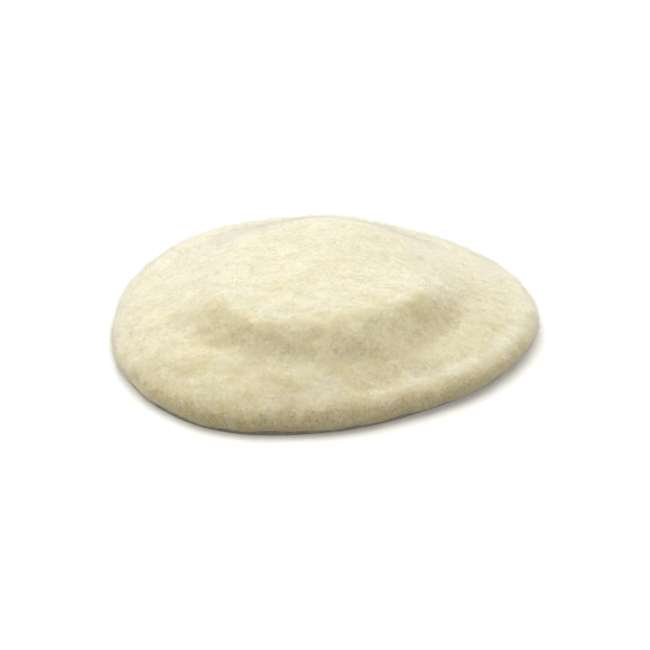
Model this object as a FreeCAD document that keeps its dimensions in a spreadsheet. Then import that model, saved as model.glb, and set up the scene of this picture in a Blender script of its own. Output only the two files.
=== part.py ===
import FreeCAD, Part
import math
import os
import Sketcher

# Felt polishing wheel: a blocked wool-felt face on a cushioned, spindle-mounted backing plate.
#
# Frame: the origin is on the spin axis at the hub's seating face, and +Z points out of the
# felt's working face. The wheel lies on its hub and on the edge of its brim, both at Z = 0.

# Driving dimensions in millimetres: name, value, meaning.
SIZES = [
    ("wheel_diameter", 76.0, "felt, over the rim"),
    ("felt_thickness", 4.5, "felt: crown, wall and brim alike"),
    ("crown_depth", 3.1, "hollow inside the crown, down from the felt's underside"),
    ("cavity_clearance", 0.5, "between the plate's edge and the wall of the crown's hollow"),
    ("crest_radius", 2.8, "round at the top edge of the crown"),
    ("valley_radius", 2.0, "round where the crown meets the brim"),
    ("rim_radius", 2.2, "round at the upper edge of the rim"),
    ("edge_radius", 0.6, "round at the lower edge of the rim"),
    ("backing_thickness", 0.4, "backing cloth under the brim, measured upright"),
    ("backing_inset", 1.0, "backing cloth's edge in from the rim"),
    ("bond_line", 0.15, "glue line between the felt and the backing cloth"),
    ("film_thickness", 0.15, "each adhesive disc"),
    ("cushion_thickness", 3.0, "foam cushion"),
    ("cushion_inset", 0.5, "edge of the cushion and its films in from the plate's edge"),
    ("plate_diameter", 38.0, "fibre backing plate"),
    ("plate_thickness", 1.8, "fibre backing plate"),
    ("boss_diameter", 16.0, "hub's boss"),
    ("boss_height", 3.4, "seating face to the flange's underside"),
    ("flats_width", 13.0, "across the boss's spanner flats"),
    ("flats_height", 2.6, "spanner flats, up from the seating face"),
    ("flange_ledge", 5.5, "hub's flange, out from the boss"),
    ("flange_thickness", 1.4, "hub's flange"),
    ("spigot_diameter", 10.0, "hub's spigot, which centres the plate"),
    ("spigot_clearance", 0.05, "radial, spigot in plate"),
    ("thread_bore", 5.1, "hub's bore, the tapping size of a quarter-inch 20 thread"),
    ("thread_lead_in", 0.6, "chamfer at the mouth of the thread"),
    ("rivet_count", 4, "rivets, evenly spaced"),
    ("rivet_shank", 2.2, "rivet's shank diameter"),
    ("rivet_head", 3.6, "diameter of the domed head under the flange"),
    ("rivet_head_height", 0.9, "height of the domed head"),
    ("rivet_sink", 3.8, "diameter of the countersunk head, flush with the plate's top"),
    ("rivet_clearance", 0.05, "radial, rivet in its holes"),
]

# Heights above the seating face, as expressions of the sheet.
FLANGE_TOP = "(Sizes.boss_height + Sizes.flange_thickness)"
PLATE_TOP = f"({FLANGE_TOP} + Sizes.plate_thickness)"
CUSHION_BOTTOM = f"({PLATE_TOP} + Sizes.film_thickness)"
CUSHION_TOP = f"({CUSHION_BOTTOM} + Sizes.cushion_thickness)"
CROWN_UNDERSIDE = f"({CUSHION_TOP} + Sizes.film_thickness)"
CROWN_TOP = f"({CROWN_UNDERSIDE} + Sizes.felt_thickness)"
BRIM_ROOT = f"({CROWN_UNDERSIDE} - Sizes.crown_depth)"

# Radii, as expressions of the sheet.
RIM = "(Sizes.wheel_diameter / 2)"
BACKING_EDGE = f"({RIM} - Sizes.backing_inset)"
CAVITY = "(Sizes.plate_diameter / 2 + Sizes.cavity_clearance)"
CROWN_WALL = f"({CAVITY} + Sizes.felt_thickness)"
CUSHION_EDGE = "(Sizes.plate_diameter / 2 - Sizes.cushion_inset)"
BOSS = "(Sizes.boss_diameter / 2)"
FLANGE = f"({BOSS} + Sizes.flange_ledge)"
SPIGOT = "(Sizes.spigot_diameter / 2)"

# The rivets stand in the middle of the flange's ledge.
RIVET_CIRCLE = f"({BOSS} + Sizes.flange_ledge / 2)"
RIVET_SINK_DEPTH = "((Sizes.rivet_sink - Sizes.rivet_shank) / 2)"

# The brim's fall per millimetre of radius: at its edge, the backing cloth touches the surface
# that the wheel lies on.
BRIM_LIFT = "(Sizes.backing_thickness + Sizes.bond_line)"
BRIM_SLOPE = f"(({BRIM_ROOT} - {BRIM_LIFT}) / ({BACKING_EDGE} - {CAVITY}))"

# The rounds, each limited to its share of the wall that it stands on.
CROWN_RISE = f"(Sizes.crown_depth + {BRIM_SLOPE} * Sizes.felt_thickness)"
CREST_ROUND = f"min(Sizes.crest_radius; 0.6 * {CROWN_RISE})"
VALLEY_ROUND = f"min(Sizes.valley_radius; 0.5 * {CROWN_RISE})"
RIM_ROUND = "min(Sizes.rim_radius; 0.6 * Sizes.felt_thickness)"
EDGE_ROUND = "min(Sizes.edge_radius; 0.25 * Sizes.felt_thickness)"
DOME_ROUND = "min(0.8 * Sizes.rivet_head_height; 0.4 * Sizes.rivet_head)"

doc = FreeCAD.newDocument("felt_polishing_wheel")


def brim_height(radius, above="0"):
    """Height of the brim's underside at a radius, raised by a distance measured upright."""
    return f"{BRIM_ROOT} - {BRIM_SLOPE} * ({radius} - {CAVITY}) + {above}"


def make_sheet():
    """The sheet of driving dimensions, one per row."""
    sheet = doc.addObject("Spreadsheet::Sheet", "Sizes")
    for row, (name, value, meaning) in enumerate(SIZES, start=1):
        sheet.set(f"A{row}", name)
        sheet.set(f"B{row}", str(value))
        sheet.setAlias(f"B{row}", name)
        sheet.set(f"C{row}", meaning)
    doc.recompute()
    return sheet


def make_body(name):
    """An empty body whose label names its file."""
    body = doc.addObject("PartDesign::Body", name)
    body.Label = name
    return body


def origin_item(body, role):
    """One of the body's own origin planes or axes."""
    return next(item for item in body.Origin.OriginFeatures if item.Role == role)


def make_sketch(body, name, plane):
    """A sketch on one of the body's origin planes."""
    sketch = body.newObject("Sketcher::SketchObject", name)
    sketch.AttachmentSupport = [(origin_item(body, plane), "")]
    sketch.MapMode = "FlatFace"
    return sketch


def place_corner(sketch, line, direction, expression):
    """Hold one coordinate of a line's start: on the sketch's axis, or at a bound distance from it."""
    if expression == "0":
        axis = -2 if direction == "X" else -1
        sketch.addConstraint(Sketcher.Constraint("PointOnObject", line, 1, axis))
        return
    distance = Sketcher.Constraint(f"Distance{direction}", -1, 1, line, 1, 1.0)
    number = sketch.addConstraint(distance)
    name = f"{direction.lower()}_{line}"
    sketch.renameConstraint(number, name)
    sketch.setExpression(f"Constraints.{name}", expression)


def draw_outline(sketch, corners):
    """A closed outline of straight runs through corners given as pairs of expressions.

    The corners start out evenly round a circle, and their constraints carry them into place.
    """
    first = sketch.GeometryCount
    count = len(corners)
    turn = 2 * math.pi / count
    start = [FreeCAD.Vector(math.cos(turn * k), math.sin(turn * k), 0) for k in range(count)]
    for k in range(count):
        sketch.addGeometry(Part.LineSegment(start[k], start[(k + 1) % count]), False)
    for k, (across, up) in enumerate(corners):
        line = first + k
        following = first + (k + 1) % count
        sketch.addConstraint(Sketcher.Constraint("Coincident", line, 2, following, 1))
        place_corner(sketch, line, "X", across)
        place_corner(sketch, line, "Y", up)


def revolve(body, name, corners):
    """Turn a half outline of named corners in the XZ plane about Z. Returns its sketch and solid."""
    sketch = make_sketch(body, f"{name}_outline", "XZ_Plane")
    draw_outline(sketch, list(corners.values()))
    turned = body.newObject("PartDesign::Revolution", name)
    turned.Profile = sketch
    turned.ReferenceAxis = (sketch, ["V_Axis"])
    turned.Angle = 360
    doc.recompute()
    return sketch, turned


def ring_edge(feature, sketch, corners, corner):
    """The name of the round edge that a named corner of the revolved outline sweeps."""
    point = sketch.Geometry[list(corners).index(corner)].StartPoint
    for number, edge in enumerate(feature.Shape.Edges, start=1):
        if not isinstance(edge.Curve, Part.Circle):
            continue
        same_radius = math.isclose(edge.Curve.Radius, point.x, abs_tol=1e-4)
        same_height = math.isclose(edge.Curve.Center.z, point.y, abs_tol=1e-4)
        if same_radius and same_height:
            return f"Edge{number}"
    raise ValueError(f"{feature.Name} has no round edge at corner {corner}")


def round_edge(body, feature, sketch, corners, corner, radius):
    """Fillet the edge that a named corner sweeps."""
    fillet = body.newObject("PartDesign::Fillet", f"{body.Label}_{corner}_round")
    fillet.Base = (feature, [ring_edge(feature, sketch, corners, corner)])
    fillet.setExpression("Radius", radius)
    doc.recompute()
    return fillet


def bevel_edge(body, feature, sketch, corners, corner, size):
    """Chamfer the edge that a named corner sweeps."""
    chamfer = body.newObject("PartDesign::Chamfer", f"{body.Label}_{corner}_bevel")
    chamfer.Base = (feature, [ring_edge(feature, sketch, corners, corner)])
    chamfer.setExpression("Size", size)
    doc.recompute()
    return chamfer


def make_disc(name, radius, bottom, top):
    """A flat disc between two heights."""
    body = make_body(name)
    corners = {
        "bottom_centre": ("0", bottom),
        "bottom_edge": (radius, bottom),
        "top_edge": (radius, top),
        "top_centre": ("0", top),
    }
    revolve(body, f"{name}_disc", corners)
    return body


def make_felt_face():
    """The felt: a crown over the cushion, its wall, and a brim that falls to the surface."""
    body = make_body("felt_face")
    corners = {
        "hollow_centre": ("0", CROWN_UNDERSIDE),
        "hollow_edge": (CAVITY, CROWN_UNDERSIDE),
        "brim_root": (CAVITY, BRIM_ROOT),
        "rim_bottom": (RIM, brim_height(RIM)),
        "rim_top": (RIM, brim_height(RIM, "Sizes.felt_thickness")),
        "valley": (CROWN_WALL, brim_height(CROWN_WALL, "Sizes.felt_thickness")),
        "crest": (CROWN_WALL, CROWN_TOP),
        "crown_centre": ("0", CROWN_TOP),
    }
    rounds = {
        "crest": CREST_ROUND,
        "valley": VALLEY_ROUND,
        "rim_top": RIM_ROUND,
        "rim_bottom": EDGE_ROUND,
    }
    outline, felt = revolve(body, "felt", corners)
    for corner, radius in rounds.items():
        felt = round_edge(body, felt, outline, corners, corner, radius)
    return body


def make_brim_backing():
    """The backing cloth: a shallow cone under the brim, one glue line below the felt."""
    body = make_body("brim_backing")
    corners = {
        "root_bottom": (CAVITY, brim_height(CAVITY, f"-{BRIM_LIFT}")),
        "edge_bottom": (BACKING_EDGE, "0"),
        "edge_top": (BACKING_EDGE, brim_height(BACKING_EDGE, "-Sizes.bond_line")),
        "root_top": (CAVITY, brim_height(CAVITY, "-Sizes.bond_line")),
    }
    revolve(body, "cloth", corners)
    return body


def cut_rivet_holes(body, name, bottom, top, sunk):
    """Cut a rivet's hole between two heights, countersunk or plain, and repeat it for each rivet."""
    hole = f"{RIVET_CIRCLE} + Sizes.rivet_shank / 2 + Sizes.rivet_clearance"
    corners = [(RIVET_CIRCLE, bottom), (hole, bottom)]
    if sunk:
        sink = f"{RIVET_CIRCLE} + Sizes.rivet_sink / 2 + Sizes.rivet_clearance"
        corners += [(hole, f"{top} - {RIVET_SINK_DEPTH}"), (sink, top)]
    else:
        corners += [(hole, top)]
    corners += [(RIVET_CIRCLE, top)]
    sketch = make_sketch(body, f"{name}_rivet_outline", "XZ_Plane")
    draw_outline(sketch, corners)
    groove = body.newObject("PartDesign::Groove", f"{name}_rivet_hole")
    groove.Profile = sketch
    groove.ReferenceAxis = (sketch, [f"Edge{len(corners)}"])
    groove.Angle = 360
    doc.recompute()
    pattern = body.newObject("PartDesign::PolarPattern", f"{name}_rivet_holes")
    pattern.Originals = [groove]
    pattern.Axis = (origin_item(body, "Z_Axis"), [""])
    pattern.Angle = 360
    pattern.setExpression("Occurrences", "Sizes.rivet_count")
    body.Tip = pattern
    doc.recompute()


def make_backing_plate():
    """The fibre plate: centred on the hub's spigot, with countersunk rivet holes."""
    body = make_body("backing_plate")
    hole = f"{SPIGOT} + Sizes.spigot_clearance"
    edge = "Sizes.plate_diameter / 2"
    corners = {
        "hole_bottom": (hole, FLANGE_TOP),
        "edge_bottom": (edge, FLANGE_TOP),
        "edge_top": (edge, PLATE_TOP),
        "hole_top": (hole, PLATE_TOP),
    }
    revolve(body, "plate", corners)
    cut_rivet_holes(body, "plate", FLANGE_TOP, PLATE_TOP, sunk=True)
    return body


def cut_flats(body):
    """Two spanner flats, cut up from the seating face."""
    sketch = make_sketch(body, "flats_outline", "XY_Plane")
    flat = "Sizes.flats_width / 2"
    outside = "Sizes.boss_diameter"
    corners = [(flat, f"-{BOSS}"), (outside, f"-{BOSS}"), (outside, BOSS), (flat, BOSS)]
    draw_outline(sketch, corners)
    draw_outline(sketch, [(f"-({across})", up) for across, up in corners])
    pocket = body.newObject("PartDesign::Pocket", "spanner_flats")
    pocket.Profile = sketch
    pocket.Reversed = True
    pocket.setExpression("Length", "Sizes.flats_height")
    doc.recompute()


def make_spindle_hub():
    """The hub nut: a boss with spanner flats, a flange, and a spigot through the plate."""
    body = make_body("spindle_hub")
    bore = "Sizes.thread_bore / 2"
    corners = {
        "thread_mouth": (bore, "0"),
        "boss_bottom": (BOSS, "0"),
        "boss_top": (BOSS, "Sizes.boss_height"),
        "flange_bottom": (FLANGE, "Sizes.boss_height"),
        "flange_top": (FLANGE, FLANGE_TOP),
        "spigot_root": (SPIGOT, FLANGE_TOP),
        "spigot_top": (SPIGOT, PLATE_TOP),
        "thread_end": (bore, PLATE_TOP),
    }
    outline, hub = revolve(body, "hub", corners)
    bevel_edge(body, hub, outline, corners, "thread_mouth", "Sizes.thread_lead_in")
    cut_flats(body)
    cut_rivet_holes(body, "hub", "Sizes.boss_height", FLANGE_TOP, sunk=False)
    return body


def make_rivet(number, count):
    """One rivet: a domed head under the flange, a shank, and a countersunk head in the plate."""
    body = make_body(f"rivet_{number}")
    shank = "Sizes.rivet_shank / 2"
    head = "Sizes.rivet_head / 2"
    sink = "Sizes.rivet_sink / 2"
    head_bottom = "Sizes.boss_height - Sizes.rivet_head_height"
    corners = {
        "head_centre": ("0", head_bottom),
        "head_edge": (head, head_bottom),
        "head_seat": (head, "Sizes.boss_height"),
        "shank_bottom": (shank, "Sizes.boss_height"),
        "shank_top": (shank, f"{PLATE_TOP} - {RIVET_SINK_DEPTH}"),
        "sink_edge": (sink, PLATE_TOP),
        "sink_centre": ("0", PLATE_TOP),
    }
    outline, rivet = revolve(body, f"rivet_{number}_turned", corners)
    round_edge(body, rivet, outline, corners, "head_edge", DOME_ROUND)
    angle = f"(360 * {number - 1} / {count})"
    body.setExpression("Placement.Base.x", f"{RIVET_CIRCLE} * cos({angle})")
    body.setExpression("Placement.Base.y", f"{RIVET_CIRCLE} * sin({angle})")
    return body


def check(parts):
    """Stop if any object failed or any piece isn't one valid solid."""
    for item in doc.Objects:
        for fault in ("Invalid", "Error"):
            if fault in item.State:
                raise RuntimeError(f"{item.Name} is {fault}")
    for part in parts:
        shape = part.Shape
        if shape.isNull() or not shape.isValid() or len(shape.Solids) != 1:
            raise RuntimeError(f"{part.Label} is not one valid solid")


def export(parts):
    """Write each piece to a file named after its label, and print its volume and heights."""
    os.makedirs("parts", exist_ok=True)
    for part in parts:
        part.Shape.exportStep(f"parts/{part.Label}.step")
        box = part.Shape.BoundBox
        print(f"{part.Label:18s} {part.Shape.Volume:10.2f} mm3  Z {box.ZMin:.2f} to {box.ZMax:.2f}")


sizes = make_sheet()
pieces = [
    make_felt_face(),
    make_brim_backing(),
    make_disc("felt_adhesive", CUSHION_EDGE, CUSHION_TOP, CROWN_UNDERSIDE),
    make_disc("cushion_pad", CUSHION_EDGE, CUSHION_BOTTOM, CUSHION_TOP),
    make_disc("cushion_adhesive", CUSHION_EDGE, PLATE_TOP, CUSHION_BOTTOM),
    make_backing_plate(),
    make_spindle_hub(),
]
for rivet_number in range(1, int(sizes.rivet_count) + 1):
    pieces.append(make_rivet(rivet_number, "Sizes.rivet_count"))
doc.recompute()
check(pieces)
export(pieces)
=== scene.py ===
import math

import bpy
import numpy as np
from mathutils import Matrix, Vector, noise


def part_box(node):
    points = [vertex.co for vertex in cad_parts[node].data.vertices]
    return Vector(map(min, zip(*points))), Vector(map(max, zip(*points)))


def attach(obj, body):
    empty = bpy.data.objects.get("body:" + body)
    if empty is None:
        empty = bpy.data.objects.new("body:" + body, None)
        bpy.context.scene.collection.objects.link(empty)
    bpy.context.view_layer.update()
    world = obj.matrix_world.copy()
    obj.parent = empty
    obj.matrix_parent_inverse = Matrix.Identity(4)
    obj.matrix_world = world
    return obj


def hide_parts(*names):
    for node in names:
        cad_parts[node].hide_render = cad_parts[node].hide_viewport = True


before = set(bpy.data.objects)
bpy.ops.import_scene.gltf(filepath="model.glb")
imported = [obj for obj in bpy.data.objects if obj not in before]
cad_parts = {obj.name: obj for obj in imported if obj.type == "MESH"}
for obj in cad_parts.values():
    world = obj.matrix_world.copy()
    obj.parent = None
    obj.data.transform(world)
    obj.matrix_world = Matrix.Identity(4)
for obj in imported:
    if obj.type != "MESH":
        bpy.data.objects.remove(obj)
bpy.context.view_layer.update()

MM = 0.001

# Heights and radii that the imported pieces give, in millimetres.
CROWN_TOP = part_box("felt_face")[1].z / MM
CROWN_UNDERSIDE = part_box("felt_adhesive")[1].z / MM
CLOTH_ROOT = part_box("brim_backing")[1].z / MM
PAD_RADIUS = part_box("cushion_pad")[1].x / MM
PAD_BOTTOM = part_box("cushion_pad")[0].z / MM
PAD_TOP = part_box("cushion_pad")[1].z / MM

# Sizes of the felt's hollow and of its backing, and how high the brim's underside is at the hollow
# and at the rim, in millimetres.
CAVITY_RADIUS = 19.5
CLOTH_THICKNESS = 0.4
BOND_LINE = 0.15
CLOTH_INSET = 1.0
BRIM_ROOT = CLOTH_ROOT + BOND_LINE
BRIM_EDGE = CLOTH_THICKNESS + BOND_LINE

# The felt isn't quite round. Each list has twelve values, 30 degrees apart, from the +X side round
# by the back (+Y). Radii, heights and thicknesses are in millimetres.
# The rim, which is drawn in and lifted at the right front: its radius, how far it is lifted, its
# thickness, and its upper edge, which is square at 1, rounded at 0 and sloping below 0.
RIM_RADIUS = [37.6, 37.2, 37.0, 37.8, 38.9, 38.0, 37.3, 39.2, 40.4, 36.9, 34.3, 35.4]
RIM_LIFT = [0.6, 0.3, 0.2, 0.4, 0.4, 0.3, 0.0, 0.0, 0.0, 0.2, 0.4, 0.6]
RIM_THICKNESS = [3.7, 4.3, 4.3, 4.6, 4.7, 4.6, 4.5, 4.6, 4.9, 4.7, 4.1, 3.6]
RIM_SQUARENESS = [1.0, 1.0, 1.0, 0.8, 0.5, 0.2, 0.0, -0.3, -0.3, 0.2, 0.9, 1.0]
# The crown's crest and how far it lies below the crown's middle, the groove's foot and how far it
# lies above the brim's plain slope, and how much the brim swells between the groove and the rim.
CREST_RADIUS = [20.4, 18.6, 19.0, 20.5, 20.0, 20.0, 19.5, 21.6, 24.0, 22.2, 19.4, 20.0]
CREST_DROP = [3.0, 2.2, 0.6, 0.4, 1.2, 1.8, 1.7, 0.8, 0.4, 0.4, 0.4, 0.8]
FOOT_RADIUS = [25.0, 29.0, 30.0, 30.0, 32.5, 31.0, 29.0, 28.0, 27.6, 26.8, 25.4, 24.2]
FOOT_RISE = [-0.3, 0.2, 0.0, 0.0, 0.0, 0.1, 0.1, 0.3, 0.5, 0.8, 0.5, -0.7]
BRIM_SWELL = [0.2, 0.5, 0.5, 0.5, 0.5, 0.5, 0.5, 0.5, 0.5, 0.3, 0.3, 0.2]
# How strong the painted highlight is along the rim's crest, where the loose wool is made paler:
# 1 for the most.
CREST_HIGHLIGHT = [0.7, 0.9, 0.9, 0.6, 0.3, 0.2, 0.3, 0.3, 0.3, 0.4, 1.0, 1.0]

# How steeply the crown's top rises towards the back, and how far its middle is above CROWN_TOP.
CROWN_TILT = 0.012
CROWN_RISE = 0.1

# Lumps in the felt: size and height in millimetres, and the noise's seed. Their strength changes
# between these two places along Y, so that they are stronger in front than behind, and they fade
# out over the last rings, at the rim's lower edge.
LUMPS = [(9.0, 0.26, 1), (4.0, 0.16, 2), (1.6, 0.06, 3)]
LUMP_STRENGTHS = (1.45, 0.35)
LUMP_PLACES = (-35, 35)
SMOOTH_EDGE_RINGS = 12

# Hollows pressed into the brim: direction in degrees, radius, depth and width in millimetres.
HOLLOWS = [
    (286, 30.0, 0.8, 4.0), (232, 27.0, 0.3, 2.5), (308, 28.0, 0.3, 4.0), (205, 31.0, 0.2, 4.0),
]

# Patches of painted shade, in tan: direction in degrees, radius and width in millimetres, and
# strength.
SHADE_PATCHES = [
    (286, 30.0, 4.8, 0.35), (352, 29.0, 7.0, 0.5), (346, 20.5, 3.5, 0.45), (231, 34.2, 4.0, 0.3),
    (202, 35.4, 5.0, 0.35),
]

# The felt's walls, which get painted shade: the upward part of the normal where they begin, and
# how much less it is where they count in full.
WALL_STARTS = 0.98
WALL_SPAN = 0.4

# The felt's mesh: directions, rings on its outer side and rings under its brim.
SPOKES = 512
TOP_RINGS = 150
UNDER_RINGS = 16

# Where the rim's crest lies on the felt's outer side, and its width, as shares of the rings.
RIM_CREST = 0.645
RIM_CREST_WIDTH = 0.045

# The backing: rings across the cloth, its weave's scale for the wave texture and how far its
# threads waver. The cushion: how far it bulges, in millimetres, and the rings round its side.
CLOTH_RINGS = 24
WEAVE_SCALE = 500
WEAVE_WAVER = 1.2
PAD_BULGE = 0.35
PAD_SIDE_RINGS = 11

# The hub's quarter-inch 20 thread, in millimetres: the bore, the pitch, the ridge's height and the
# bare length at each end of the bore. Then half the ridge's base as a share of the pitch, half its
# crest, the steps in a turn, and the share of its length over which each end fades out.
BORE_RADIUS = 2.55
THREAD_PITCH = 1.27
THREAD_RIDGE = 0.12
THREAD_MARGIN = 0.9
THREAD_BASE = 0.42
THREAD_CREST = 0.1
THREAD_STEPS = 48
THREAD_FADE = 1 / 12

# The metals, where they are dull and where they are worn bright.
DARK_STEEL, LIGHT_STEEL = (0.50, 0.50, 0.51, 1), (0.66, 0.66, 0.67, 1)
DARK_ALUMINIUM, LIGHT_ALUMINIUM = (0.68, 0.69, 0.70, 1), (0.80, 0.81, 0.82, 1)

# The floor, in metres: how far it reaches, the colour that lights the object, the whites that the
# camera sees in front and behind, with the places between which they blend, and how much it glows
# near the wheel and far off, with the distances between which that grows.
FLOOR_REACH = 3.0
FLOOR_COLOUR = (0.47, 0.44, 0.365, 1)
FLOOR_FRONT_WHITE, FLOOR_BACK_WHITE = (0.93, 0.95, 1.0, 1), (0.74, 0.76, 0.82, 1)
FLOOR_FRONT, FLOOR_BACK = -0.01, 0.03
FLOOR_NEAR_GLOW, FLOOR_FAR_GLOW = 0.22, 0.8
FLOOR_NEAR, FLOOR_FAR = 0.08, 0.5

# The studio's light: the way to its back, and its colours and strengths in front and behind. The
# lamp's side and place in metres, its power in watts and its colour.
STUDIO_BACK = (-0.15, 0.98, 0)
STUDIO_WARM, STUDIO_PALE = (1.0, 0.91, 0.69, 1), (1.0, 0.98, 0.91, 1)
STUDIO_FRONT_STRENGTH, STUDIO_BACK_STRENGTH = 0.25, 0.82
LAMP_SIDE = 1.0
LAMP_PLACE = (-0.09, 0.14, 0.58)
LAMP_POWER = 4.85
LAMP_COLOUR = (0.985, 1.0, 0.965)

# The camera: degrees above the table, its distance and the width that it sees there in metres, its
# sensor's width in millimetres, and the share of the frame that it is shifted by.
CAMERA_ELEVATION = 27.3
CAMERA_DISTANCE = 0.6
FRAME_WIDTH = 0.1157
SENSOR_WIDTH = 36.0
FRAME_SHIFT = 0.017


def arching(sunk):
    """A fibre's height along its length: an arch whose ends are sunk into the felt."""
    return lambda share: math.sin(math.pi * share) - sunk


def standing(power):
    """A fibre's height along its length: rooted just under the surface, it rises to its tip."""
    return lambda share: share**power - 0.05


# The wool's loose fibres, by kind: the number of pieces, of fibres in each and of points along a
# fibre, and the share of the felt's rings at which they start, going outwards. Length, height and
# radius are ranges in millimetres. Tint goes from 0, the felt's own colour, to 1, the palest. A
# third value in a range is a power that makes its low end more common. Curl is in radians a step.
FIBRES = [
    dict(
        name="felt_fibres", pieces=5, count=9800, points=4, start=0, shape=arching(0.3), curl=1.0,
        length=(0.4, 1.2), height=(0.01, 0.03), radius=(0.006, 0.024, 3), tint=(0, 1),
    ),
    dict(
        name="felt_nap", pieces=2, count=13000, points=3, start=0, shape=standing(0.8), curl=0.4,
        length=(0.4, 1.4), height=(0.1, 0.9, 1.6), radius=(0.005, 0.010), tint=(0.6, 1),
    ),
    dict(
        name="felt_fuzz", pieces=3, count=6000, points=6, start=0, shape=standing(1.1), curl=0.5,
        length=(1.2, 3.5), height=(0.5, 2.0, 1.5), radius=(0.006, 0.010), tint=(0.9, 1),
    ),
    dict(
        name="felt_strands", pieces=1, count=1200, points=10, start=0, shape=arching(0.1),
        curl=0.35, length=(2.0, 6.0), height=(0.15, 0.5), radius=(0.012, 0.022), tint=(0.8, 1),
    ),
    dict(
        name="felt_strays", pieces=1, count=400, points=8, start=0.72, shape=standing(1.5),
        curl=0.5, length=(1.5, 4.0), height=(0.4, 1.3), radius=(0.010, 0.016), tint=(0.5, 1),
    ),
]
# The seed of their random draws, a fibre's sides, how far it is flattened, 1 being not at all, how
# high above the floor it stays, in millimetres, and the margin in its cell of the texture map.
SEED = 11
FIBRE_SIDES = 3
FIBRE_FLATNESS = 0.6
FLOOR_CLEARANCE = 0.05
CELL_MARGIN = 0.06


def around(values, angle):
    """A closed smooth curve through evenly spaced values, read at these angles."""
    values = np.asarray(values, float)
    count = len(values)
    place = np.mod(angle, 2 * math.pi) / (2 * math.pi) * count
    first = np.floor(place).astype(int)
    t = place - first
    before, here, after, beyond = (values[(first + step) % count] for step in (-1, 0, 1, 2))
    bend = 2 * before - 5 * here + 4 * after - beyond
    twist = 3 * (here - after) + beyond - before
    return here + 0.5 * t * (after - before + t * (bend + t * twist))


def soft_curve(corners, samples):
    """Points along the cubic B-spline of these corners, each an array over the directions."""
    corners = [corners[0], corners[0]] + list(corners) + [corners[-1], corners[-1]]
    corners = np.array(corners)
    points = []
    for place in np.linspace(0, len(corners) - 3 - 1e-9, samples):
        first = int(place)
        t = place - first
        weights = ((1 - t) ** 3, 3 * t**3 - 6 * t**2 + 4, -3 * t**3 + 3 * t**2 + 3 * t + 1, t**3)
        points.append(sum(w * corners[first + k] for k, w in enumerate(weights)) / 6)
    return np.array(points)


def noise_at(points, size, seed):
    """Noise between about -1 and 1 at points in millimetres, with lumps of this size."""
    shift = Vector((seed * 17.3, seed * 5.1, seed * 9.7))
    flat = points.reshape(-1, 3)
    values = [noise.noise(Vector(point) / size + shift) for point in flat]
    return np.array(values).reshape(points.shape[:-1])


def underside(radius, angle, below=0.0):
    """Height of the brim's underside, or of a surface this far below it."""
    edge = around(RIM_RADIUS, angle) - CLOTH_INSET
    edge_height = BRIM_EDGE + around(RIM_LIFT, angle)
    share = (radius - CAVITY_RADIUS) / (edge - CAVITY_RADIUS)
    return BRIM_ROOT + (edge_height - BRIM_ROOT) * share - below


def felt_section(angle):
    """The felt's outer side in each direction, from the crown's middle to the rim's lower edge."""
    rim = around(RIM_RADIUS, angle)
    crest = around(CREST_RADIUS, angle)
    foot = around(FOOT_RADIUS, angle)
    thickness = around(RIM_THICKNESS, angle)
    drop = around(CREST_DROP, angle)
    rise = around(FOOT_RISE, angle)
    swell = around(BRIM_SWELL, angle)
    square = around(RIM_SQUARENESS, angle)

    def crown(share):
        """A point this share of the way from the crown's middle to its crest."""
        radius = crest * share
        tilt = CROWN_TILT * radius * np.sin(angle)
        return np.stack([radius, CROWN_TOP + CROWN_RISE - drop * share**2 + tilt])

    def brim(share, rise_share, swell_share):
        """A point this share of the way from the groove's foot to the rim."""
        radius = foot + (rim - foot) * share
        raised = rise * rise_share + swell * swell_share
        return np.stack([radius, underside(radius, angle) + thickness + raised])

    def edge(outset, height_share):
        """A point this far outside the rim's radius, at this share of its thickness."""
        radius = rim + outset
        return np.stack([radius, underside(radius, angle) + thickness * height_share])

    # The curve's corners: over the crown, down into the groove, out along the brim, and round the
    # rim, whose two upper corners stand further out and higher where it is square.
    corners = [
        crown(0.01), crown(0.3), crown(0.6), crown(0.85), crown(1.0),
        brim(0.0, 1.0, 0.0), brim(0.18, 0.7, 0.3), brim(0.4, 0.3, 0.9), brim(0.65, 0.0, 1.0),
        edge(0.8 * square - 2.6, 1.02 + 0.08 * square),
        edge(0.3 * square - 0.3, 0.93 + 0.06 * square),
        edge(0.45, 0.58), edge(-0.1, 0.1), edge(-1.8, 0.0),
    ]
    return soft_curve(corners, TOP_RINGS)


def placed(section, angle):
    """Points in space from a section's radii and heights in each direction."""
    radius, height = section[:, 0], section[:, 1]
    return np.stack([radius * np.cos(angle), radius * np.sin(angle), height], -1)


def grid_normals(grid):
    """Unit normals of a ring-by-spoke grid of points, outwards."""
    down = np.gradient(grid, axis=0)
    across = np.roll(grid, -1, 1) - np.roll(grid, 1, 1)
    normals = np.cross(down, across)
    return normals / np.maximum(np.linalg.norm(normals, axis=-1, keepdims=True), 1e-9)


def patch_share(grid, degrees, radius, width):
    """1 at the middle of a hollow or patch, and less and less away from it."""
    turn = math.radians(degrees)
    middle = np.array([radius * math.cos(turn), radius * math.sin(turn)])
    distance = np.linalg.norm(grid[..., :2] - middle, axis=-1)
    return np.exp(-((distance / width) ** 2))


def felt_grid(angle):
    """The felt's lumpy outer side as a grid of points."""
    grid = placed(felt_section(angle), angle)
    for degrees, radius, depth, width in HOLLOWS:
        grid[..., 2] -= depth * patch_share(grid, degrees, radius, width)
    lumps = sum(height * noise_at(grid, size, seed) for size, height, seed in LUMPS)
    lumps *= np.interp(grid[..., 1], LUMP_PLACES, LUMP_STRENGTHS)
    rings_left = TOP_RINGS - 1 - np.arange(TOP_RINGS)
    fade = np.clip(rings_left / SMOOTH_EDGE_RINGS, 0, 1)[:, None]
    return grid + grid_normals(grid) * (lumps * fade)[..., None]


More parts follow.
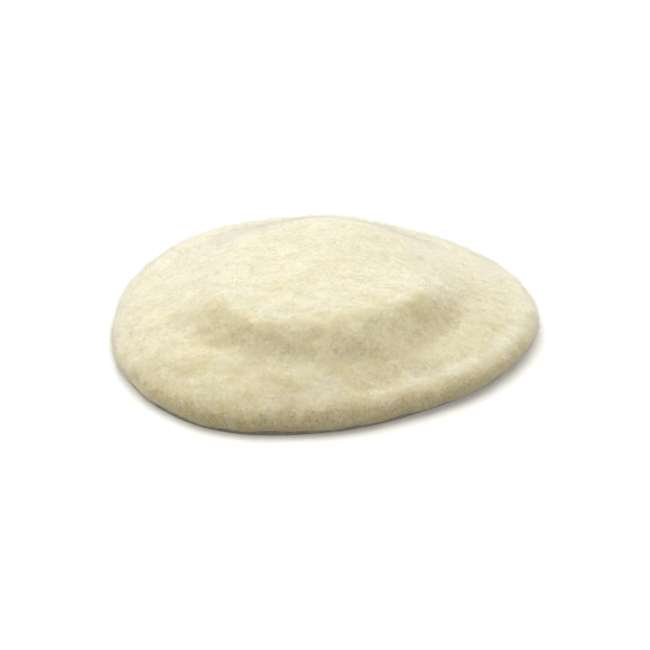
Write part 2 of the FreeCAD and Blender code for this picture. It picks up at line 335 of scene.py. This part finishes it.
def painted_shade_share(grid):
    """Painted tan shade at each point: 0 on the felt's flats, 1 on its walls, between in patches.
    """
    tan = (WALL_STARTS - grid_normals(grid)[..., 2]) / WALL_SPAN
    for degrees, radius, width, strength in SHADE_PATCHES:
        tan = np.maximum(tan, 0) + strength * patch_share(grid, degrees, radius, width)
    return np.clip(tan, 0, 1)


def crest_highlight(grid, angle):
    """How near each point is to the rim's crest, where a painted highlight makes the loose fibres
    paler.
    """
    ring = np.arange(len(grid))[:, None] / len(grid)
    return around(CREST_HIGHLIGHT, angle) * np.exp(-(((ring - RIM_CREST) / RIM_CREST_WIDTH) ** 2))


def ring_faces(rings, hollow=False):
    """Quads between rings of points.

    The last ring joins the first if hollow. If not, the first and the last get caps.
    """
    faces = []
    for ring in range(rings if hollow else rings - 1):
        for spoke in range(SPOKES):
            after = (spoke + 1) % SPOKES
            here, below = ring * SPOKES, (ring + 1) % rings * SPOKES
            faces.append((here + spoke, below + spoke, below + after, here + after))
    if not hollow:
        last = (rings - 1) * SPOKES
        faces.append(tuple(range(SPOKES)))
        faces.append(tuple(last + spoke for spoke in reversed(range(SPOKES))))
    return faces


def mesh_piece(name, points, faces, finish, replaces=None):
    """An object from points in millimetres, riding on the wheel."""
    mesh = bpy.data.meshes.new(name)
    mesh.from_pydata((points.reshape(-1, 3) * MM).tolist(), [], faces)
    mesh.polygons.foreach_set("use_smooth", [True] * len(mesh.polygons))
    mesh.update()
    mesh.materials.append(finish)
    piece = bpy.data.objects.new(name, mesh)
    bpy.context.scene.collection.objects.link(piece)
    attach(piece, "root")
    if replaces:
        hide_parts(replaces)
    return piece


def give_values(piece, name, values):
    """A number on each point of a piece, for its material to read."""
    layer = piece.data.attributes.new(name, "FLOAT", "POINT")
    layer.data.foreach_set("value", values.ravel())


class Nodes:
    """The node tree of a material or a world, with short ways to add to it."""

    def __init__(self, owner, shader="Principled BSDF"):
        owner.use_nodes = True
        self.owner = owner
        self.tree = owner.node_tree
        self.shader = self.tree.nodes[shader]

    def add(self, kind, **inputs):
        """A new node, its inputs named with underscores for spaces."""
        node = self.tree.nodes.new(kind)
        for name, value in inputs.items():
            self.give(node.inputs[name.replace("_", " ")], value)
        return node

    def give(self, socket, value):
        """A link or a plain value for this input."""
        if isinstance(value, bpy.types.NodeSocket):
            self.tree.links.new(value, socket)
        else:
            socket.default_value = value

    def place(self):
        """Where a point lies on the object, in metres."""
        return self.add("ShaderNodeTexCoord").outputs["Object"]

    def value(self, name):
        """A number that the piece's points carry."""
        node = self.add("ShaderNodeAttribute")
        node.attribute_name = name
        return node.outputs["Fac"]

    def noise(self, size, detail=2.0, roughness=0.5):
        """Noise with features of this size in millimetres."""
        node = self.add("ShaderNodeTexNoise", Vector=self.place(), Scale=1 / (size * MM))
        self.give(node.inputs["Detail"], detail)
        self.give(node.inputs["Roughness"], roughness)
        return node.outputs["Fac"]

    def between(self, value, low, high):
        """The value's part from low to high, spread from 0 to 1."""
        node = self.add("ShaderNodeMapRange", Value=value, From_Min=low, From_Max=high)
        return node.outputs["Result"]

    def spread(self, value, low, high):
        """A value from 0 to 1, turned into one from low to high."""
        node = self.add("ShaderNodeMapRange", Value=value, To_Min=low, To_Max=high)
        return node.outputs["Result"]

    def blend(self, share, first, second):
        """A colour between two others."""
        node = self.tree.nodes.new("ShaderNodeMix")
        node.data_type = "RGBA"
        self.give(node.inputs["Factor"], share)
        self.give(node.inputs["A"], first)
        self.give(node.inputs["B"], second)
        return node.outputs["Result"]

    def maths(self, operation, *values):
        """A number worked out from others."""
        node = self.tree.nodes.new("ShaderNodeMath")
        node.operation = operation
        for socket, value in zip(node.inputs, values):
            self.give(socket, value)
        return node.outputs["Value"]

    def vector_maths(self, operation, first, second=None):
        """The outputs of an operation on vectors."""
        node = self.add("ShaderNodeVectorMath", Vector=first)
        node.operation = operation
        if second:
            node.inputs[1].default_value = second
        return node.outputs

    def bump(self, height, distance, strength=1.0):
        """A normal from a height, its depth in millimetres."""
        node = self.add("ShaderNodeBump", Height=height, Distance=distance * MM, Strength=strength)
        return node.outputs["Normal"]

    def seen_directly(self):
        """1 for what the camera sees, also in gloss or through glass, and 0 for other light."""
        path = self.tree.nodes.new("ShaderNodeLightPath").outputs
        glossy_too = self.maths("ADD", path["Is Camera Ray"], path["Is Glossy Ray"])
        glass_too = self.maths("ADD", glossy_too, path["Is Transmission Ray"])
        return self.maths("MINIMUM", glass_too, 1.0)

    def finish(self, **inputs):
        """The material or world, once its shader has these inputs."""
        for name, value in inputs.items():
            self.give(self.shader.inputs[name.replace("_", " ")], value)
        return self.owner


def new_material(name):
    """The nodes of a new material."""
    return Nodes(bpy.data.materials.new(name))


def felt_colour(made):
    """Cream wool: white, tan and greenish patches some millimetres wide, and a fine grain.

    The walls are tanner and browner, a painted shade, and more mottled, and the rim's crest is
    paler, a painted highlight.
    """
    white, tan, shade_brown = (0.85, 0.81, 0.645, 1), (0.74, 0.66, 0.42, 1), (0.59, 0.49, 0.27, 1)
    greenish, whitest = (0.79, 0.77, 0.55, 1), (0.95, 0.945, 0.85, 1)
    dark_spot, pale_spot = (0.52, 0.42, 0.24, 1), (1.0, 0.98, 0.88, 1)
    dark_grain = (0.64, 0.55, 0.34, 1)
    # Painted shade makes the walls and some patches tanner and browner.
    painted_shade = made.value("painted_shade")
    # Painted highlight: the rim's crest is made paler.
    painted_highlight = made.maths("MULTIPLY", made.value("painted_highlight"), made.spread(made.noise(5.0), 0.1, 0.9))

    # The tan comes from random blotches, the wool's own tone, and from the painted shade.
    blotches = made.between(made.noise(6.0, 3.0, 0.6), 0.36, 0.64)
    tan_blotches_and_shade = made.maths("MULTIPLY_ADD", painted_shade, 0.6, made.maths("MULTIPLY", blotches, 0.75))
    brown_shade_patches = made.between(made.noise(2.5, 3.0), 0.3, 0.7)
    brown_shade = made.maths("MULTIPLY", painted_shade, made.spread(brown_shade_patches, 0.2, 0.55))
    cream = made.blend(brown_shade, made.blend(tan_blotches_and_shade, white, tan), shade_brown)
    green = made.blend(made.between(made.noise(2.1), 0.45, 0.75), cream, greenish)
    white_patches = made.between(made.noise(3.4, 3.0), 0.5, 0.75)
    patches = made.blend(made.maths("MULTIPLY_ADD", white_patches, 0.6, painted_highlight), green, whitest)

    mottle = made.spread(painted_shade, 0.12, 1.0)
    dark_spots = made.between(made.noise(0.7, 4.0, 0.7), 0.5, 0.7)
    darker = made.blend(made.maths("MULTIPLY", dark_spots, mottle), patches, dark_spot)
    pale_spots = made.between(made.noise(0.5, 4.0, 0.7), 0.5, 0.7)
    mottled = made.blend(made.maths("MULTIPLY", pale_spots, mottle), darker, pale_spot)
    grain = made.maths("MULTIPLY", made.between(made.noise(0.25), 0.45, 0.7), 0.5)
    return made.blend(grain, mottled, dark_grain)


def felt_material():
    """Wool felt: light soaks in, and a painted sheen, standing for its fine hairs, pales its
    colour where it turns away.

    A known fault: the painted sheen is colour by where the camera stands, so it slides in other
    views and the exported model loses it.
    """
    made = new_material("wool_felt")
    # Painted sheen: the base colour is blended paler where the surface turns away from the camera.
    facing = made.add("ShaderNodeLayerWeight", Blend=0.5).outputs["Facing"]
    painted_sheen = (0.97, 0.955, 0.88, 1)
    return made.finish(
        Base_Color=made.blend(made.between(facing, 0.4, 0.9), felt_colour(made), painted_sheen),
        Roughness=made.spread(made.noise(0.8), 0.85, 1.0),
        Normal=made.bump(made.noise(0.45, 4.0, 0.65), 0.06, 0.25),
        Subsurface_Weight=0.7,
        Subsurface_Radius=(1.0, 0.8, 0.5),
        Subsurface_Scale=0.0012,
        Sheen_Weight=0.9,
        Sheen_Roughness=0.4,
        Specular_IOR_Level=0.2,
    )


def fibre_material():
    """A loose fibre: between the felt's colour there and a paler one of its own, by its tint."""
    made = new_material("wool_fibre")
    tint = made.value("tint")
    # Fibres on the walls get a darker colour, a painted shade.
    flats, walls, palest = (0.84, 0.79, 0.62, 1), (0.62, 0.54, 0.35, 1), (1.0, 0.99, 0.95, 1)
    own = made.blend(tint, made.blend(made.value("painted_shade"), flats, walls), palest)
    return made.finish(
        Base_Color=made.blend(made.spread(tint, 0.15, 1.0), felt_colour(made), own),
        Roughness=made.spread(made.noise(0.3), 0.6, 0.8),
        Sheen_Weight=0.9,
        Sheen_Roughness=0.4,
        Specular_IOR_Level=0.3,
    )


def pick_spots(grid, count, rng, first):
    """Random rings and spokes of the grid, spread evenly over its area from this ring down."""
    down = np.linalg.norm(np.diff(grid, axis=0), axis=-1)
    across = np.linalg.norm(np.roll(grid, -1, 1) - grid, axis=-1)[:-1]
    area = down * across
    area[:first] = 0
    chosen = rng.choice(area.size, count, p=area.ravel() / area.sum())
    ring, spoke = np.divmod(chosen, area.shape[1])
    return ring + rng.random(count), spoke + rng.random(count)


def on_grid(ring, grid):
    """Rings kept between the grid's first and its last."""
    return np.clip(ring, 0, len(grid) - 1.001)


def read_grid(values, ring, spoke):
    """A grid's values between its rings and spokes."""
    ring = on_grid(ring, values)
    r0, s0 = ring.astype(int), np.floor(spoke).astype(int)
    tr, ts = (ring - r0)[..., None], (spoke - s0)[..., None]
    s0, s1 = s0 % SPOKES, (s0 + 1) % SPOKES
    near = values[r0, s0] * (1 - ts) + values[r0, s1] * ts
    far = values[r0 + 1, s0] * (1 - ts) + values[r0 + 1, s1] * ts
    return near * (1 - tr) + far * tr


def lay_fibres(grid, spots, points_each, length, rise, curl, rng):
    """Paths of this many points: each fibre wanders over the felt from its spot, rising as told.

    Also the felt's outward direction at each point.
    """
    normals = grid_normals(grid)
    ring_gap = np.linalg.norm(np.gradient(grid, axis=0), axis=-1)[..., None]
    spoke_gap = np.maximum(np.linalg.norm(np.gradient(grid, axis=1), axis=-1), 0.01)[..., None]
    ring, spoke = spots
    heading = rng.random(len(ring)) * 2 * math.pi
    turn = rng.normal(0, curl, len(ring))
    step = length / (points_each - 1)
    points, outwards = [], []
    for k in range(points_each):
        here = read_grid(grid, ring, spoke)
        up = read_grid(normals, ring, spoke)
        points.append(here + up * rise(k / (points_each - 1))[:, None])
        outwards.append(up)
        ring = ring + np.cos(heading) * step / read_grid(ring_gap, ring, spoke)[:, 0]
        spoke = spoke + np.sin(heading) * step / read_grid(spoke_gap, ring, spoke)[:, 0]
        heading = heading + turn + rng.normal(0, curl / 2, len(heading))
        ring = on_grid(ring, grid)
    points = np.array(points)
    points[..., 2] = np.maximum(points[..., 2], FLOOR_CLEARANCE)
    return points, np.array(outwards)


def fibre_faces(rings):
    """The faces of one fibre with this many rings of points, and their corners' places in a cell.

    Its sides fill the middle of the cell and its two ends lie as strips beside them.
    """
    def end_strip(u):
        return [(u, 0.1 + 0.8 * side / (FIBRE_SIDES - 1)) for side in range(FIBRE_SIDES)]

    faces, cells = [tuple(reversed(range(FIBRE_SIDES)))], [end_strip(0.02)]
    for ring in range(rings - 1):
        u0, u1 = (0.1 + 0.8 * (ring + end) / (rings - 1) for end in (0, 1))
        for side in range(FIBRE_SIDES):
            a = FIBRE_SIDES * ring + side
            b = FIBRE_SIDES * ring + (side + 1) % FIBRE_SIDES
            v0, v1 = side / FIBRE_SIDES, (side + 1) / FIBRE_SIDES
            faces.append((a, b, b + FIBRE_SIDES, a + FIBRE_SIDES))
            cells.append([(u0, v0), (u0, v1), (u1, v1), (u1, v0)])
    faces.append(tuple(FIBRE_SIDES * (rings - 1) + side for side in range(FIBRE_SIDES)))
    cells.append(end_strip(0.98))
    return faces, cells


def fibre_piece(name, paths, outwards, radius, values, finish):
    """One mesh of closed, tapered, flattish fibres, each with its own cell of the texture map.

    A fibre has three sides and its ridge turned outwards, so that it takes the light as the felt
    does.
    """
    rings, count = paths.shape[:2]
    along = np.gradient(paths, axis=0)
    along /= np.linalg.norm(along, axis=-1, keepdims=True) + 1e-9
    side = np.cross(along, outwards)
    side /= np.linalg.norm(side, axis=-1, keepdims=True) + 1e-9
    up = np.cross(side, along)
    # Thickest in its middle, and thinner towards both ends.
    taper = 0.25 + 0.75 * np.sin(math.pi * np.linspace(0.06, 0.94, rings))
    reach = taper[:, None, None] * radius[None, :, None]
    corners = []
    for corner in range(FIBRE_SIDES):
        turn = (corner - 0.75) * 2 * math.pi / FIBRE_SIDES
        outset = math.cos(turn) * side - math.sin(turn) * FIBRE_FLATNESS * up
        corners.append(paths + reach * outset)
    points = np.stack(corners, 2).transpose(1, 0, 2, 3)

    template, cells = fibre_faces(rings)
    size = FIBRE_SIDES * rings
    faces = [tuple(size * fibre + v for v in face) for fibre in range(count) for face in template]
    piece = mesh_piece(name, points, faces, finish)
    cells_a_side = math.ceil(math.sqrt(count))
    cell = np.array([corner for face in cells for corner in face])
    cell = CELL_MARGIN + (1 - 2 * CELL_MARGIN) * cell
    fibre = np.arange(count)[:, None]
    corner_u = (fibre % cells_a_side + cell[None, :, 0]) / cells_a_side
    corner_v = (fibre // cells_a_side + cell[None, :, 1]) / cells_a_side
    layer = piece.data.uv_layers.new(name="OFBake")
    layer.data.foreach_set("uv", np.stack([corner_u, corner_v], -1).ravel())
    for value_name, per_fibre in values.items():
        give_values(piece, value_name, np.repeat(per_fibre, size))


def make_fibres(angle, grid):
    """The wool's loose surface: fibres that lie on it or stand on it, fuzz, strands and strays."""
    rng = np.random.default_rng(SEED)
    finish = fibre_material()
    # Painted shade on the walls and patches, and painted highlight along the rim's crest, for the
    # fibres.
    felt_values = {
        "painted_shade": painted_shade_share(grid)[..., None],
        "painted_highlight": crest_highlight(grid, angle)[..., None],
    }

    def grow(name, kind):
        """One piece of fibres of this kind."""
        def draw(low, high, power=1):
            """A random value for each fibre."""
            return low + (high - low) * rng.random(kind["count"]) ** power

        length, height, radius, tint = (
            draw(*kind[measure]) for measure in ("length", "height", "radius", "tint")
        )
        spots = pick_spots(grid, kind["count"], rng, int(TOP_RINGS * kind["start"]))
        paths, outwards = lay_fibres(
            grid, spots, kind["points"], length, lambda share: height * kind["shape"](share),
            kind["curl"], rng,
        )
        values = {"tint": tint}
        for value_name, on_felt in felt_values.items():
            values[value_name] = read_grid(on_felt, *spots)[:, 0]
        fibre_piece(name, paths, outwards, radius, values, finish)

    for kind in FIBRES:
        for number in range(kind["pieces"]):
            numbered = f"{kind['name']}_{number + 1}"
            grow(numbered if kind["pieces"] > 1 else kind["name"], kind)


def level_ring(radius, height, angle):
    """A ring of a section that is the same in every direction."""
    return [radius + 0 * angle, height + 0 * angle]


def make_felt(angle, grid):
    """The felt: its outer side, the brim's underside, and the hollow under the crown."""
    edge = np.linalg.norm(grid[-1, :, :2], axis=-1)
    shares = np.linspace(1, 0, UNDER_RINGS + 1)[1:, None]
    radius = CAVITY_RADIUS + (edge - CAVITY_RADIUS) * shares
    brim = np.stack([radius, underside(radius, angle)], 1)
    wall = [(CAVITY_RADIUS, (BRIM_ROOT + CROWN_UNDERSIDE) / 2), (CAVITY_RADIUS, CROWN_UNDERSIDE)]
    ceiling = [(CAVITY_RADIUS * share, CROWN_UNDERSIDE) for share in (0.75, 0.5, 0.25, 0.02)]
    hollow = np.array([level_ring(*corner, angle) for corner in wall + ceiling])
    points = np.concatenate([grid, placed(brim, angle), placed(hollow, angle)])
    faces = ring_faces(len(points))
    piece = mesh_piece("felt", points, faces, felt_material(), "felt_face")
    # Painted shade on the walls and patches, and painted highlight along the rim's crest.
    painted_shade, painted_highlight = np.ones(points.shape[:2]), np.zeros(points.shape[:2])
    painted_shade[:TOP_RINGS] = painted_shade_share(grid)
    painted_highlight[:TOP_RINGS] = crest_highlight(grid, angle)
    give_values(piece, "painted_shade", painted_shade)
    give_values(piece, "painted_highlight", painted_highlight)


def cloth_material():
    """A grey plain weave: threads over and under each other, two ways."""
    made = new_material("backing_cloth")
    threads = []
    for direction in ("X", "Y"):
        wave = made.add(
            "ShaderNodeTexWave", Vector=made.place(), Scale=WEAVE_SCALE, Distortion=WEAVE_WAVER
        )
        wave.bands_direction = direction
        threads.append(wave.outputs["Fac"])
    weave = made.maths("MAXIMUM", *threads)
    dark, light = (0.50, 0.52, 0.55, 1), (0.68, 0.69, 0.72, 1)
    return made.finish(
        Base_Color=made.blend(made.maths("MULTIPLY", weave, made.noise(1.5, 3.0)), dark, light),
        Roughness=made.spread(made.noise(0.5), 0.8, 0.95),
        Normal=made.bump(weave, 0.08),
        Sheen_Weight=0.15,
        Sheen_Roughness=0.5,
    )


def foam_material():
    """Grey open-cell foam: a fine field of pits, with painted shade darkening their middles."""
    made = new_material("foam")
    pit_size = 0.5 * MM
    pits = made.add("ShaderNodeTexVoronoi", Vector=made.place(), Scale=1 / pit_size)
    cells = pits.outputs["Distance"]
    return made.finish(
        # The grey is the foam's own; the pits' darker middles are painted shade.
        Base_Color=made.blend(cells, (0.06, 0.06, 0.065, 1), (0.27, 0.27, 0.28, 1)),
        Roughness=made.spread(cells, 0.85, 1.0),
        Normal=made.bump(cells, 0.15),
    )


def adhesive_material():
    """Dried contact adhesive: amber, a little cloudy and uneven."""
    made = new_material("adhesive")
    return made.finish(
        Base_Color=made.blend(made.noise(2.5, 4.0), (0.62, 0.54, 0.36, 1), (0.80, 0.75, 0.58, 1)),
        Roughness=made.spread(made.noise(0.9), 0.35, 0.6),
        Normal=made.bump(made.noise(1.2), 0.05),
    )


def plate_material():
    """Black vulcanised fibre: pressed paper, with a faint mottle and rubbed scuffs."""
    made = new_material("fibre_plate")
    mottle = made.blend(made.noise(0.8, 5.0), (0.012, 0.011, 0.011, 1), (0.045, 0.041, 0.039, 1))
    scuffs = made.between(made.noise(5.0, 6.0, 0.7), 0.58, 0.8)
    return made.finish(
        Base_Color=made.blend(scuffs, mottle, (0.10, 0.095, 0.09, 1)),
        Roughness=made.spread(made.noise(1.2, 4.0), 0.42, 0.7),
        Normal=made.bump(made.noise(0.35, 3.0), 0.03),
    )


def turned_material(name, dark, light, ring_size):
    """Metal turned on a lathe: fine rings about the wheel's axis, worn brighter in places."""
    made = new_material(name)
    flat = made.vector_maths("MULTIPLY", made.place(), (1, 1, 0))["Vector"]
    radius = made.vector_maths("LENGTH", flat)["Value"]
    turning = made.add("ShaderNodeTexNoise", Scale=1 / (ring_size * MM))
    turning.noise_dimensions = "1D"
    made.give(turning.inputs["W"], radius)
    rings = turning.outputs["Fac"]
    wear = made.between(made.noise(3.0, 5.0, 0.65), 0.4, 0.7)
    return made.finish(
        Base_Color=made.blend(wear, dark, light),
        Metallic=1.0,
        Roughness=made.spread(made.maths("MULTIPLY", rings, wear), 0.24, 0.5),
        Normal=made.bump(rings, 0.015),
    )


def make_cloth(angle):
    """The backing: a ring of cloth under the brim, a bond line below the felt."""
    edge = around(RIM_RADIUS, angle) - CLOTH_INSET
    section = []
    sides = ((0, 1, BOND_LINE), (1, 0, BOND_LINE + CLOTH_THICKNESS))
    for start, end, below in sides:
        for share in np.linspace(start, end, CLOTH_RINGS):
            radius = CAVITY_RADIUS + (edge - CAVITY_RADIUS) * share
            section.append([radius, underside(radius, angle, below)])
    points = placed(np.array(section), angle)
    faces = ring_faces(len(points), hollow=True)
    piece = mesh_piece("backing", points, faces, cloth_material(), "brim_backing")


def make_pad(angle):
    """The foam cushion: flat where it is glued, and squeezed out a little at its side."""
    flat = (0.02, 0.4, 0.8, 0.96)
    section = [level_ring(PAD_RADIUS * share, PAD_TOP, angle) for share in flat]
    middle, half = (PAD_TOP + PAD_BOTTOM) / 2, (PAD_TOP - PAD_BOTTOM) / 2
    for turn in np.linspace(math.pi / 2, -math.pi / 2, PAD_SIDE_RINGS):
        radius = PAD_RADIUS - PAD_BULGE * (1 - math.cos(turn))
        section.append(level_ring(radius, middle + half * math.sin(turn), angle))
    section += [level_ring(PAD_RADIUS * share, PAD_BOTTOM, angle) for share in reversed(flat)]
    points = placed(np.array(section), angle)
    faces = ring_faces(len(points))
    piece = mesh_piece("foam_pad", points, faces, foam_material(), "cushion_pad")


def make_thread():
    """The quarter-inch thread in the hub's bore: one helical ridge along its wall."""
    low, high = (corner.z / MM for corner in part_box("spindle_hub"))
    turns = (high - low - 2 * THREAD_MARGIN) / THREAD_PITCH
    steps = int(turns * THREAD_STEPS)
    points = []
    for step in range(steps + 1):
        share = step / steps
        turn = share * turns * 2 * math.pi
        fade = min(1.0, share / THREAD_FADE, (1 - share) / THREAD_FADE) + 0.02
        height = low + THREAD_MARGIN + share * turns * THREAD_PITCH
        crest = BORE_RADIUS - THREAD_RIDGE * fade
        base = THREAD_BASE * THREAD_PITCH * fade
        profile = (
            (BORE_RADIUS, -base), (crest, -THREAD_CREST),
            (crest, THREAD_CREST), (BORE_RADIUS, base),
        )
        for radius, rise in profile:
            points.append((radius * math.cos(turn), radius * math.sin(turn), height + rise))
    faces = [(3, 2, 1, 0)]
    for step in range(steps):
        for corner in range(4):
            a, b = 4 * step + corner, 4 * step + (corner + 1) % 4
            faces.append((a, b, b + 4, a + 4))
    last = 4 * steps
    faces.append((last, last + 1, last + 2, last + 3))
    steel = turned_material("thread_steel", DARK_STEEL, LIGHT_STEEL, 0.1)
    mesh_piece("hub_thread", np.array(points), faces, steel)


def finish_cad():
    """The stiff pieces keep their CAD shape and get their own materials."""
    steel = turned_material("hub_steel", DARK_STEEL, LIGHT_STEEL, 0.12)
    aluminium = turned_material("rivet_metal", DARK_ALUMINIUM, LIGHT_ALUMINIUM, 0.08)
    adhesive = adhesive_material()
    finishes = {
        "spindle_hub": steel,
        "backing_plate": plate_material(),
        "felt_adhesive": adhesive,
        "cushion_adhesive": adhesive,
    }
    for name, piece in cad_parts.items():
        finish = aluminium if name.startswith("rivet") else finishes.get(name)
        if finish:
            for material_slot in piece.material_slots:
                material_slot.material = finish


def make_stage():
    """A pale floor, whose own colour, a warm grey, lights the object from below.

    The camera sees it white, with the object's shadow. Its white is dimmer from the wheel's middle
    backwards, because the fuzz on the felt's far edge would drown in a brighter one. Far off,
    where the lamp lights it less, it glows more.
    """
    mesh = bpy.data.meshes.new("floor")
    near, far = -FLOOR_REACH, FLOOR_REACH
    corners = [(near, near, 0), (far, near, 0), (far, far, 0), (near, far, 0)]
    mesh.from_pydata(corners, [], [(0, 1, 2, 3)])
    floor = bpy.data.objects.new("floor", mesh)
    bpy.context.scene.collection.objects.link(floor)
    made = new_material("white_floor")
    seen = made.seen_directly()
    depth = made.add("ShaderNodeSeparateXYZ", Vector=made.place()).outputs["Y"]
    distance = made.vector_maths("LENGTH", made.place())["Value"]
    behind = made.between(depth, FLOOR_FRONT, FLOOR_BACK)
    white = made.blend(behind, FLOOR_FRONT_WHITE, FLOOR_BACK_WHITE)
    far_off = made.between(distance, FLOOR_NEAR, FLOOR_FAR)
    glow = made.spread(far_off, FLOOR_NEAR_GLOW, FLOOR_FAR_GLOW)
    mesh.materials.append(made.finish(
        Base_Color=made.blend(seen, FLOOR_COLOUR, white),
        Roughness=1.0,
        Specular_IOR_Level=0.0,
        Emission_Color=(1, 1, 1, 1),
        Emission_Strength=made.maths("MULTIPLY", seen, glow),
    ))


def make_light():
    """A studio: warm and dim in front, paler and brighter behind, and one large soft lamp above.

    Seen directly, the studio is plain white.
    """
    made = Nodes(bpy.data.worlds.new("studio"), "Background")
    seen = made.seen_directly()
    direction = made.add("ShaderNodeTexCoord").outputs["Generated"]
    behind = made.vector_maths("DOT_PRODUCT", direction, STUDIO_BACK)["Value"]
    colour = made.blend(behind, STUDIO_WARM, STUDIO_PALE)
    share = made.between(behind, -1.0, 1.0)
    strength = made.spread(share, STUDIO_FRONT_STRENGTH, STUDIO_BACK_STRENGTH)
    bpy.context.scene.world = made.finish(
        Color=made.blend(seen, colour, (1, 1, 1, 1)),
        Strength=made.spread(seen, strength, 1.0),
    )

    lamp = bpy.data.lights.new("softbox", "AREA")
    lamp.shape = "RECTANGLE"
    lamp.size = lamp.size_y = LAMP_SIDE
    lamp.energy = LAMP_POWER
    lamp.color = LAMP_COLOUR
    softbox = bpy.data.objects.new("softbox", lamp)
    bpy.context.scene.collection.objects.link(softbox)
    softbox.location = LAMP_PLACE
    aim = -softbox.location
    softbox.rotation_euler = aim.to_track_quat("-Z", "Y").to_euler()


def make_camera():
    """The photograph's viewpoint, in front of the wheel and above the table it lies on."""
    lens = bpy.data.cameras.new("camera")
    lens.sensor_width = SENSOR_WIDTH
    lens.lens = SENSOR_WIDTH * CAMERA_DISTANCE / FRAME_WIDTH
    lens.shift_y = FRAME_SHIFT
    camera = bpy.data.objects.new("camera", lens)
    bpy.context.scene.collection.objects.link(camera)
    elevation = math.radians(CAMERA_ELEVATION)
    back = Vector((0, -math.cos(elevation), math.sin(elevation)))
    camera.location = back * CAMERA_DISTANCE
    camera.rotation_euler = (-back).to_track_quat("-Z", "Y").to_euler()
    bpy.context.scene.camera = camera


make_camera()
make_light()
make_stage()
angles = np.arange(SPOKES) * 2 * math.pi / SPOKES
outer_side = felt_grid(angles)
make_felt(angles, outer_side)
make_fibres(angles, outer_side)
make_cloth(angles)
make_pad(angles)
make_thread()
finish_cad()
bpy.context.scene.view_settings.view_transform = "Standard"
